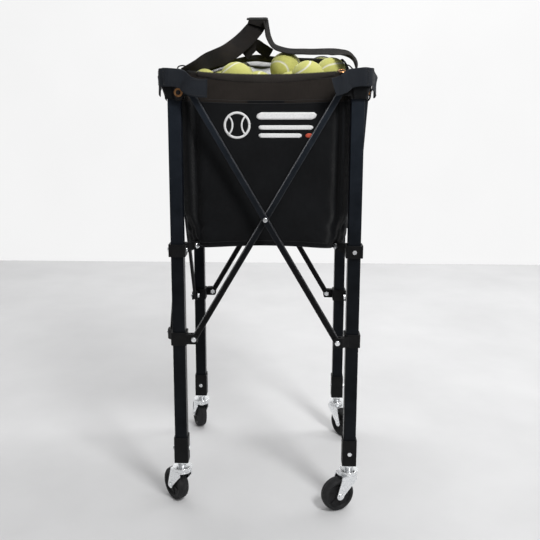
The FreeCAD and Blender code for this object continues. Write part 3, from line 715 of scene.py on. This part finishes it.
def front_print():
    """Plain emblem: an outlined ball beside three bars, and one small red bar."""
    ball = [arc_shape(-56, 801, 24.0, 4.6, 0, 360, 60), arc_shape(-90, 801, 25.0, 3.4, -46, 46, 24),
            arc_shape(-22, 801, 25.0, 3.4, 134, 226, 24)]
    bars = [bar_shape(-20, 96, 812, 826, 4.0), bar_shape(-14, 92, 792.5, 801), bar_shape(-14, 70, 777, 785.5)]
    decal("print_emblem", ball + bars, M_INK)
    decal("print_accent", [bar_shape(77, 92, 777, 785.5)], M_INK_RED)


front_print()


# ---- balls
BALL_R = 33.5
FRONT_ROW = [(-126, -127, 878), (-60, -124, 891), (14, -128, 864), (82, -127, 893)]
SECOND_ROW = [(-95, -67, 877), (-18, -70, 876), (50, -70, 875)]
BEDDED_Z = 850.0
BEDDED = [(-110, 14), (-110, 86), (-38, 10), (-38, 92), (40, 10), (40, 78), (130, -16), (130, 52), (100, 112)]
HEAP = [(38, -18, 917.5), (88, 34, 902), (131, -80, 902), (-68, 44, 900), (50, 108, 915),
        (-70, 112, 907), (120, 100, 915)]
BALLS = FRONT_ROW + SECOND_ROW + [(x, y, BEDDED_Z) for x, y in BEDDED] + HEAP
SEAM_A, SEAM_B = 0.75, 0.25
SEAM_HALF, SEAM_DEEP, NAP = 1.75, 0.75, 0.28
BALL_CUTS = 30
TURNED = {16: (1.35, 0.35, 0.5)}


def ball_mesh():
    """Ball as a cube pushed out to a sphere, with the seam pressed in and the nap roughened."""
    n = BALL_CUTS
    t = np.linspace(0, 2 * pi, 480, endpoint=False)
    seam = np.stack([SEAM_A * np.cos(t) + SEAM_B * np.cos(3 * t), SEAM_A * np.sin(t) - SEAM_B * np.sin(3 * t),
                     2 * sqrt(SEAM_A * SEAM_B) * np.sin(2 * t)], 1)
    seen, verts, faces = {}, [], []

    def vertex(p):
        key = tuple(round(c, 6) for c in p)
        if key not in seen:
            seen[key] = len(verts)
            verts.append(unit(np.array([tan(c * pi / 4) for c in p])))
        return seen[key]

    for axis in range(3):
        for sign in (-1, 1):
            for i in range(n):
                for j in range(n):
                    quad = []
                    for di, dj in ((0, 0), (1, 0), (1, 1), (0, 1)):
                        u, v = 2 * (i + di) / n - 1, 2 * (j + dj) / n - 1
                        p = [0, 0, 0]
                        p[axis], p[(axis + 1) % 3], p[(axis + 2) % 3] = sign, u, v
                        quad.append(vertex(p))
                    faces.append(tuple(quad) if sign > 0 else tuple(reversed(quad)))
    dirs = np.array(verts)
    gap = np.min(np.linalg.norm(dirs[:, None, :] - seam[None, :, :], axis=2), axis=1) * BALL_R
    line = 1 / (1 + np.exp((gap - SEAM_HALF) / 0.35))
    nap = np.array([noise.noise(Vector(d * 26)) + 0.6 * noise.noise(Vector(d * 61)) for d in dirs])
    radius = BALL_R - 0.30 - SEAM_DEEP * line + NAP * nap * (1 - line)
    mesh = new_mesh("tennis_ball", [d * r * MM for d, r in zip(dirs, radius)], faces, M_FELT)
    mesh.attributes.new("seam", "FLOAT", "POINT").data.foreach_set("value", line.astype(np.float32))
    return mesh


def place_balls():
    """The balls share a mesh, each turned its own way."""
    mesh = ball_mesh()
    rng = np.random.default_rng(7)
    for i, (x, y, z) in enumerate(BALLS):
        obj = new_object(f"ball_{i:02d}", mesh)
        obj.location = (x * MM, y * MM, z * MM)
        obj.rotation_euler = TURNED.get(i, tuple(rng.uniform(0, 2 * pi, 3)))
        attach(obj, "bag")
        if i == 0:
            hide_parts("tennis_balls")


place_balls()


# ---- mesh lid
LID_EDGE = [(-158, -148, 900), (-140, -126, 908), (-118, -98, 917), (-72, -44, 933), (-16, -5, 944),
            (10, 14, 940), (38, 24, 938), (66, 10, 938), (100, -5, 937), (135, -30, 930), (152, -60, 918),
            (160, -100, 908), (163, -140, 902)]
LID_U, LID_V = 97, 61
LID_HALF, LID_FRONT, LID_LONG, LID_SIDE, LID_PROUD = 157, -148, 305, 160.0, 1.5


def over_balls(x, y, clear):
    """Height of the balls' tops under a place, or a low value where there are none."""
    best = BEDDED_Z
    for bx, by, bz in BALLS:
        flat = (x - bx) ** 2 + (y - by) ** 2
        r = BALL_R + clear
        if flat < r * r:
            best = max(best, bz + sqrt(r * r - flat))
    return best


def lid_surface():
    """Net stretched between the rim and its free front edge, resting on the balls."""
    edge = np.array(spline(LID_EDGE, 12))
    reach = np.concatenate([[0], np.cumsum(np.linalg.norm(np.diff(edge, axis=0), axis=1))])
    even = np.linspace(0, reach[-1], LID_U)
    front = np.stack([np.interp(even, reach, edge[:, k]) for k in range(3)], 1)
    across = np.linspace(-1, 1, LID_U) * LID_HALF
    rear = np.stack([across, np.full(LID_U, LID_SIDE), [rim_z(x) + LID_PROUD for x in across]], 1)
    v = np.linspace(0, 1, LID_V)
    back = LID_FRONT + v * LID_LONG
    left = np.stack([np.full(LID_V, -LID_SIDE), back, [rim_z(y) + LID_PROUD for y in back]], 1)
    right = left * np.array([-1, 1, 1])
    left[0], right[0], left[-1], right[-1] = front[0], front[-1], rear[0], rear[-1]
    a, b = v[:, None, None], ((np.linspace(-1, 1, LID_U) + 1) / 2)[None, :, None]
    net = ((1 - a) * front + a * rear + (1 - b) * left[:, None] + b * right[:, None]
           - (1 - a) * (1 - b) * front[0] - (1 - a) * b * front[-1]
           - a * (1 - b) * rear[0] - a * b * rear[-1])
    floor = np.array([[over_balls(p[0], p[1], 1.8) for p in row] for row in net])
    z = np.maximum(net[:, :, 2], floor)
    for _ in range(400):
        z[1:-1, 1:-1] = 0.25 * (z[:-2, 1:-1] + z[2:, 1:-1] + z[1:-1, :-2] + z[1:-1, 2:]) - 0.03
        z[0, 1:-1] = np.maximum(0.5 * (z[0, :-2] + z[0, 2:]), front[1:-1, 2])
        z = np.maximum(z, floor)
    net[:, :, 2] = z
    return net


# The hem's section as (way in from the edge, lift), and the facing's rows and columns of the net.
HEM_SECTION = ((-2.0, 0.4), (0.0, 1.6), (8.0, 1.3), (16.0, 1.2))
FACING_ROWS, FACING_COLUMNS = range(2, 11), range(1, 40)


def build_lid():
    """The net with its hem along the free edge, and the facing turned in at its left end."""
    net = lid_surface()
    for i in range(1, LID_V - 1):
        for j in range(1, LID_U - 1):
            net[i, j, 2] += 0.35 * noise.noise(Vector((net[i, j, 0] / 14, net[i, j, 1] / 14, 2.0)))
    fine = np.zeros((2 * LID_V - 1, 2 * LID_U - 1, 3))
    fine[::2, ::2] = net
    fine[1::2, ::2] = (net[:-1] + net[1:]) / 2
    fine[:, 1::2] = (fine[:, :-1:2] + fine[:, 2::2]) / 2
    verts = [p * MM for row in fine for p in row]
    netting = piece("lid_netting", verts, grid_faces(*fine.shape[:2]), M_NET)
    modifier(netting, "WIREFRAME", thickness=0.34 * MM, use_even_offset=False, use_replace=True)
    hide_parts("bag_lid")
    verts, uvs = [], []
    for j in range(LID_U):
        inward = unit(net[4, j] - net[0, j])
        for f, lift in HEM_SECTION:
            verts.append((net[0, j] + inward * f + UP * lift) * MM)
            uvs.append((j * 4.0 * MM, f * MM))
    hem = piece("lid_hem", verts, grid_faces(LID_U, len(HEM_SECTION)), M_TAPE, uvs=uvs)
    rows = [[net[r, j] + UP * (0.9 + 0.5 * noise.noise(Vector(net[r, j] / 9))) for j in FACING_COLUMNS]
            for r in FACING_ROWS]
    high, wide = len(rows), len(rows[0])
    verts = []
    for r in range(high):
        for j in range(wide):
            depth = r * (1.0 - (j / (wide - 1)) ** 1.5)
            low = int(depth)
            a, b = rows[low][j], rows[min(low + 1, high - 1)][j]
            verts.append((a + (b - a) * (depth - low)) * MM)
    facing = piece("lid_facing", verts, grid_faces(high, wide), M_TAPE,
                   uvs=[(v[0], v[1]) for v in verts])
    thicken(facing, 0.8, 1.0)
    thicken(hem, 1.2, 1.0)


build_lid()


# ---- corner wraps
LEG_AT = 176.0
# The wrap's middle line round its leg, with how far the band leans there.
WRAP_RUN = [(-211.6, -128, 872, 0), (-211.2, -146, 878, 0), (-206.5, -158, 887, 0), (-204.2, -172, 890.5, 0),
            (-203.6, -188, 891, 0), (-199, -199, 891, 0), (-188, -203.6, 891, 0), (-170, -204.6, 890, 0),
            (-157, -208, 886.5, 0), (-145, -213.6, 876, 0.02), (-128, -214.8, 871, 0.04),
            (-108.5, -214.6, 870, 0.05)]
# Levels of the pocket over a leg top and of its lining, as (height, half width).
CAP = [(877.5, 24.0), (878.5, 25.0), (883, 25.2), (890, 25.3), (897, 25.0), (902, 24.4), (905, 23.0),
       (906.6, 20.5), (907.4, 16.0), (907.9, 10.0), (908.1, 4.0)]
LINING = [(881, 23.2), (875, 22.9), (869, 21.6), (863, 19.6), (857.5, 18.2), (852.5, 17.4), (849.5, 17.2)]
CAP_LEAN, CAP_CROWN = 4.2, 0.9
LINING_TOP, LINING_HIGH = 881, 31
LINING_FROM, LINING_TURN = -62, -146
TAB_X, TAB_Y, TAB_TOP, TAB_LONG, TAB_HALF = -165.2, -200.9, 888.0, 40.0, 8.8
TAB_ROUND, TAB_END, TUCK_FROM, TUCK = 857.0, 9.5, 858.0, 0.035


def rounded(half, c, s):
    """How far a rounded square of this half width reaches in direction (c, s)."""
    return half / (abs(c) ** 6 + abs(s) ** 6) ** (1 / 6)


def cap(k):
    """Cloth pocket over a leg top, pulled down towards the bag."""
    verts, steps = [], 56
    for z, half in CAP:
        for c, s in turn(steps):
            r = rounded(half, c, s)
            x, y = r * c, r * s
            fall = CAP_LEAN * (x + y) / 48 + CAP_CROWN * (x * x + y * y) / 900 * (1 if z > 900 else 0)
            ripple = 0.7 * noise.noise(Vector((x / 16 + 7 * k, y / 16, z / 13)))
            place = (-LEG_AT + x * (1 + ripple / 25), -LEG_AT + y * (1 + ripple / 25),
                     z - fall * min(1.0, max(0.0, (z - 880) / 22)) + ripple)
            verts.append(at_corner(place, k))
    faces = grid_faces(len(CAP), steps, True)
    faces.append(tuple(range(len(verts) - steps, len(verts))))
    made = piece("wrap_cap_" + CORNERS[k], verts, faces, M_WRAP)
    thicken(made, 1.6, -1.0)
    return made


def tab(k):
    """Hanging tab that carries the eyelet, with a rounded lower end."""
    verts, uvs, rows = [], [], 14
    for i in range(rows + 1):
        z = TAB_TOP - TAB_LONG * i / rows
        low = max(0.0, (TAB_ROUND - z) / TAB_END)
        half = TAB_HALF * sqrt(max(0.02, 1 - low * low)) if low > 0 else TAB_HALF
        for j in range(7):
            across, tuck = j / 3 - 1, TUCK * max(0.0, TUCK_FROM - z) ** 2
            x = TAB_X + half * across
            y = TAB_Y + 0.9 * sin(i / rows * 2.2) - 0.25 * across ** 2 + tuck
            verts.append(at_corner((x, y, z), k))
            uvs.append(((TAB_TOP - z) * MM, (x - TAB_X) * MM))
    made = piece("wrap_tab_" + CORNERS[k], verts, grid_faces(rows + 1, 7), M_WEB,
                 uvs=uvs)
    thicken(made, 1.7, -1.0)


def skirt(k):
    """Lining of the pocket, drawn in under it on the two outer faces of the leg."""
    verts, steps = [], 36
    for z, half in LINING:
        for i in range(steps + 1):
            a = radians(LINING_FROM + LINING_TURN * i / steps)
            c, s = cos(a), sin(a)
            ripple = 0.4 * noise.noise(Vector((3.0 * a + 5 * k, z / 11, 0.0)))
            r = rounded(half, c, s) + ripple * min(1.0, (LINING_TOP - z) / 8)
            low = 2.2 * sin(2.0 * a + 1.3 * k) * (LINING_TOP - z) / LINING_HIGH
            verts.append(at_corner((-LEG_AT + r * c, -LEG_AT + r * s, z + low), k))
    faces = grid_faces(len(LINING), steps + 1)
    made = piece("wrap_lining_" + CORNERS[k], verts, faces, M_BAG)
    thicken(made, 1.1, 0.0)


BOX = [(-193, 877), (-176, 877), (-176, 903), (-193, 903)]
BOX_LINES = [(0, 1), (1, 2), (2, 3), (3, 0), (0, 2), (3, 1)]
BOX_DEEP, FLAP_DEEP = -204.3, -216.2


def box_stitch(k):
    """Square with a cross, sewn through the wrap on both outer faces, and a row along each flap."""
    paths = []
    for front in (True, False):
        out = way_at((0, -1, 0) if front else (-1, 0, 0), k)
        for (u0, z0), (u1, z1) in ((BOX[i], BOX[j]) for i, j in BOX_LINES):
            line = [(u0 + (u1 - u0) * f / 4, z0 + (z1 - z0) * f / 4) for f in range(5)]
            paths.append([(at_corner((u, BOX_DEEP, z) if front else (BOX_DEEP, u, z), k), out)
                          for u, z in line])
    for z0, z1 in ((856.8, 855.8), (885.4, 884.6)):
        line = [(-141, z0 + 2.2), (-128, z0 + 0.3), (-112, z1)]
        paths.append([(at_corner((x, FLAP_DEEP, z), k), way_at((0, -1, 0), k)) for x, z in line])
    stitches("wrap_stitching_" + CORNERS[k], paths, 3.4 * MM, 0.36 * MM)


LOOP = [(-171, -168, 905), (-170, -160, 913), (-160, -156, 915), (-152, -158, 910), (-149, -160, 903)]


def wraps():
    """A pocket, band, tab and lining at each corner; the two front ones have a cord loop."""
    for k, name in enumerate(CORNERS):
        made = cap(k)
        if k == 0:
            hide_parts("corner_wraps")
        run = [quarter([(x, y, z), (lean, 0, 1)], k) for x, y, z, lean in WRAP_RUN]
        ribbon("wrap_band_" + name, run, 34.0, 1.9, M_WRAP, 8)
        tab(k)
        skirt(k)
        box_stitch(k)
        if name in ("fl", "fr"):
            path = [(p * MM, UP) for p in spline(quarter(LOOP, k), 6)]
            tube("wrap_loop_" + name, path, 1.3 * MM, M_BAG, closed=False)


# Where an ear's screw is, out from the leg and up, how far the ear reaches to the bag, and its
# section round the screw as (radius, place along the screw).
EAR_PIN, EAR_Z, EAR_REACH = 31.7 * sqrt(2), 557.5, 6.5
EAR = [(2.9, 2.62), (5.4, 2.62), (8.0, 2.62), (8.2, 3.5), (8.0, 4.38), (5.4, 4.38), (2.9, 4.38), (2.9, 3.5)]


def bolt_tabs():
    """Cloth ears at the bag's bottom corners, held to the mid bracket's web by the screw's head."""
    steps, root = 48, sqrt(0.5)
    for k, name in enumerate(CORNERS):
        verts = []
        for r, v in EAR:
            for c, s in turn(steps):
                u, z = EAR_PIN + r * c, EAR_Z + r * s
                if r > 7 and c > 0:
                    u += EAR_REACH * min(1.0, c * 1.6)
                verts.append(at_corner((-LEG_AT + root * (u + v), -LEG_AT + root * (u - v), z), k))
        faces = grid_faces(len(EAR), steps, True, looped=True)
        uvs = [(p[0] + p[1], p[2]) for p in verts]
        piece("bag_tab_" + name, verts, faces, M_WEB, uvs=uvs)


EYELET = [(4.4, 0.0), (4.6, 1.1), (5.8, 1.7), (7.4, 1.2), (8.2, 0.2), (8.2, -0.6), (4.4, -0.6)]
EYELET_AT, EYELET_TILT = (146.0, -162.0, 904.0), 0.42


def rim_eyelet():
    """Brass eyelet set in the wrap's cloth beside the rim at the front right."""
    verts, steps = [], 48
    tc, ts = cos(EYELET_TILT), sin(EYELET_TILT)
    for r, h in EYELET:
        for c, s in turn(steps):
            x, y = r * c, r * s
            verts.append((np.array(EYELET_AT) + np.array((x, y * tc - h * ts, y * ts + h * tc))) * MM)
    faces = grid_faces(len(EYELET), steps, True, looped=True)
    piece("eyelet_rim", verts, faces, M_BRASS)


wraps()
bolt_tabs()
rim_eyelet()


# ---- carry strap
STRAP_LEFT = [((-166, -163, 902), (0.2, 0.95, -0.15)), ((-136, -150, 914), (0.27, 0.85, -0.45)),
              ((-111, -118, 929), (0.3, 0.74, -0.6)), ((-85, -90, 941), (0.5, 0.45, -0.75)),
              ((-58, -60, 963), (0.68, 0.0, -0.73)), ((-35, -38, 988), (0.8, 0.0, -0.6)),
              ((-23, -29, 1005), (1.0, 0.0, -0.25)), ((-20.5, -26.5, 1014), (1.0, 0.0, -0.05)),
              ((-20.5, -30, 1019), (1.0, 0.0, 0.0)), ((-21, -34.5, 1014), (1.0, 0.0, 0.0)),
              ((-24, -37, 1003), (1.0, 0.0, -0.2))]
STRAP_RIGHT = [((-5, -30, 1014), (0.3, 0.95, 0.0)), ((-2, -28, 1000), (0.25, 0.97, 0.0)),
               ((2, -28, 980), (0.25, 0.95, 0.15)), ((12, -28, 963), (0.1, 0.94, 0.32)),
               ((36, -28, 953.5), (0.0, 0.93, 0.36)), ((80, -36, 950), (0.0, 0.93, 0.36)),
               ((138, -70, 946.5), (0.1, 0.95, 0.34)), ((158, -104, 938), (0.15, 0.97, 0.25)),
               ((170, -130, 925), (0.05, 1.0, 0.15)), ((175, -149, 909), (0.0, 1.0, 0.05))]
STRAP_TAIL = [((-50, -34, 944), (0.6, 0.3, -0.3)), ((-38, -28, 956), (0.6, 0.4, -0.3)),
              ((-26, -24, 965), (0.4, 0.5, -0.6)), ((-10, -20, 956), (0.1, 0.4, -0.8)),
              ((6, -20, 946), (-0.1, 0.4, -0.8))]


def strap():
    """The two arms of the carry strap and its free tail."""
    left = ribbon("strap_left", STRAP_LEFT, 37.0, 2.0, M_WEB, 14)
    ribbon("strap_right", STRAP_RIGHT, 37.0, 2.0, M_WEB, 12)
    ribbon("strap_tail", STRAP_TAIL, 26.0, 1.9, M_WEB, 12)
    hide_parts("carry_strap")


strap()


# ---- caster wheels
# Which way each caster trails, in degrees, and half sections of its wheel as (radius, along the axle).
CASTER_AIM = {"fl": 130.0, "fr": 205.0, "rr": 305.0, "rl": 110.0}
CORE = [(4.1, -13.5), (8.4, -13.5), (9.1, -12.9), (9.5, -9.4), (12.0, -8.2), (22.5, -7.8), (24.6, -8.6),
        (25.6, -10.9), (26.3, -11.4), (27.6, -11.3)]
TYRE = [(27.4, -11.7), (29.8, -12.0), (31.2, -11.6), (33.2, -9.8), (34.3, -7.4), (34.8, -4.0), (34.9, -0.7),
        (35.1, -0.3)]
RIBS, RIB_FIRST = 6, 20
RIB = ((9.0, 11.2), (14.0, 10.0), (23.5, 9.2))


def wheel_core():
    """Ribbed core of a wheel about the X axis, in mm."""
    verts, faces = lathe(CORE, 72)
    for side in (-1, 1):
        for rib in range(RIBS):
            a = radians(360 / RIBS * rib + RIB_FIRST)
            c, s = cos(a), sin(a)
            first = len(verts)
            for r, high in RIB:
                for w, deep in ((-1.5, 7.0), (-1.0, high), (1.0, high), (1.5, 7.0)):
                    verts.append((side * deep, r * c - w * s, r * s + w * c))
            faces += grid_faces(len(RIB), 4, True, first)
            faces.append(tuple(range(first + 8, first + 12)))
    return verts, faces


def wheels():
    """A core and a tyre for each caster, on its own wheel body."""
    for name in CORNERS:
        aim, body = radians(CASTER_AIM[name]), "caster_wheel_" + name
        lo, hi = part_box(body)
        centre = np.array((lo + hi) / 2)
        along = np.array([-sin(aim), cos(aim), 0.0])
        flat = np.array([cos(aim), sin(aim), 0.0])
        made = []
        for part, (verts, faces), material in (("core", wheel_core(), M_CORE),
                                               ("tyre", lathe(TYRE, 96), M_TYRE)):
            placed = [centre + (along * x + flat * y + UP * z) * MM for x, y, z in verts]
            made.append(piece(f"wheel_{part}_{name}", placed, faces, material, body))
        modifier(made[0], "BEVEL", width=0.35 * MM, segments=2, limit_method="ANGLE",
                 angle_limit=radians(35))
        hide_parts(body)


wheels()


# ---- floor, backdrop, light, camera
WALL_Y, WALL_TOP, STAGE_HALF = 2.19, 4.0, 6.0


def stage():
    """Pale floor, and a wall that glows so that it is evenly bright."""
    floor, wall = Nodes("studio_floor"), Nodes("studio_wall")
    floor.set(Base_Color=floor.ramp(floor.noise(3.0, 5.0), (0.60, 0.60, 0.605), (0.66, 0.66, 0.665)))
    floor.set(Roughness=0.8, Normal=floor.bump(floor.noise(90.0), 0.0006, 0.2), Specular_IOR_Level=0.2)
    wall.set(Base_Color=wall.ramp(wall.noise(2.0, 2.0), (0.08, 0.08, 0.08), (0.10, 0.10, 0.10)))
    wall.set(Roughness=0.9, Emission_Color=(0.82, 0.82, 0.82, 1.0), Emission_Strength=1.0)
    for name, nodes, (y0, z0), (y1, z1) in (("floor", floor, (-STAGE_HALF, 0), (WALL_Y, 0)),
                                            ("wall", wall, (WALL_Y, 0), (WALL_Y, WALL_TOP))):
        verts = [(-STAGE_HALF, y0, z0), (STAGE_HALF, y0, z0), (STAGE_HALF, y1, z1), (-STAGE_HALF, y1, z1)]
        new_object(name, new_mesh(name, verts, [(0, 1, 2, 3)], nodes.owner, False))


def area_light(name, place, target, size, power, tall=None):
    """Rectangular soft box that looks at its target; tall is its height where it isn't square."""
    data = bpy.data.lights.new(name, "AREA")
    data.shape = "RECTANGLE"
    data.size, data.size_y = size, tall or size
    data.energy = power
    obj = new_object(name, data)
    obj.location = place
    obj.rotation_euler = (Vector(target) - Vector(place)).to_track_quat("-Z", "Y").to_euler()


def light():
    """Soft boxes, and a world that is bright overhead, dim at the horizon and plain where it is seen."""
    n = Nodes("studio", "worlds", "Background", "Generated")
    bpy.context.scene.world = n.owner
    dome = n.ramp(n.split(n.coord)["Z"], (0.22, 0.22, 0.225), (1.0, 1.0, 1.0), (0.05, 0.75))
    seen = n.add("ShaderNodeLightPath").outputs["Is Camera Ray"]
    n.set(Color=n.mix(seen, dome, (1.75, 1.75, 1.75, 1.0)), Strength=0.47)
    area_light("key", (1.0, -1.6, 2.3), (0.15, 0, 0.5), 0.5, 39)
    area_light("front", (1.1, -2.9, 2.6), (0.2, 0, 0.9), 1.6, 15, 1.0)
    area_light("wall_wash", (0.9, 0.7, 2.7), (0.8, 2.2, 1.0), 4.0, 62, 1.0)


CAMERA_AT, CAMERA_DOWN, CAMERA_TURN = (0.0378, -1.5484, 0.8355), 0.18, 0.0384


def camera():
    """The photograph's viewing angle."""
    data = bpy.data.cameras.new("camera")
    data.sensor_width = 36.0
    data.lens = 46.69
    data.shift_x = 0.0222
    data.shift_y = -0.0654
    obj = new_object("camera", data)
    obj.location = CAMERA_AT
    obj.rotation_euler = (pi / 2 - CAMERA_DOWN, 0.0, CAMERA_TURN)
    bpy.context.scene.camera = obj


stage()
light()
camera()
bpy.context.scene.view_settings.view_transform = "Standard"
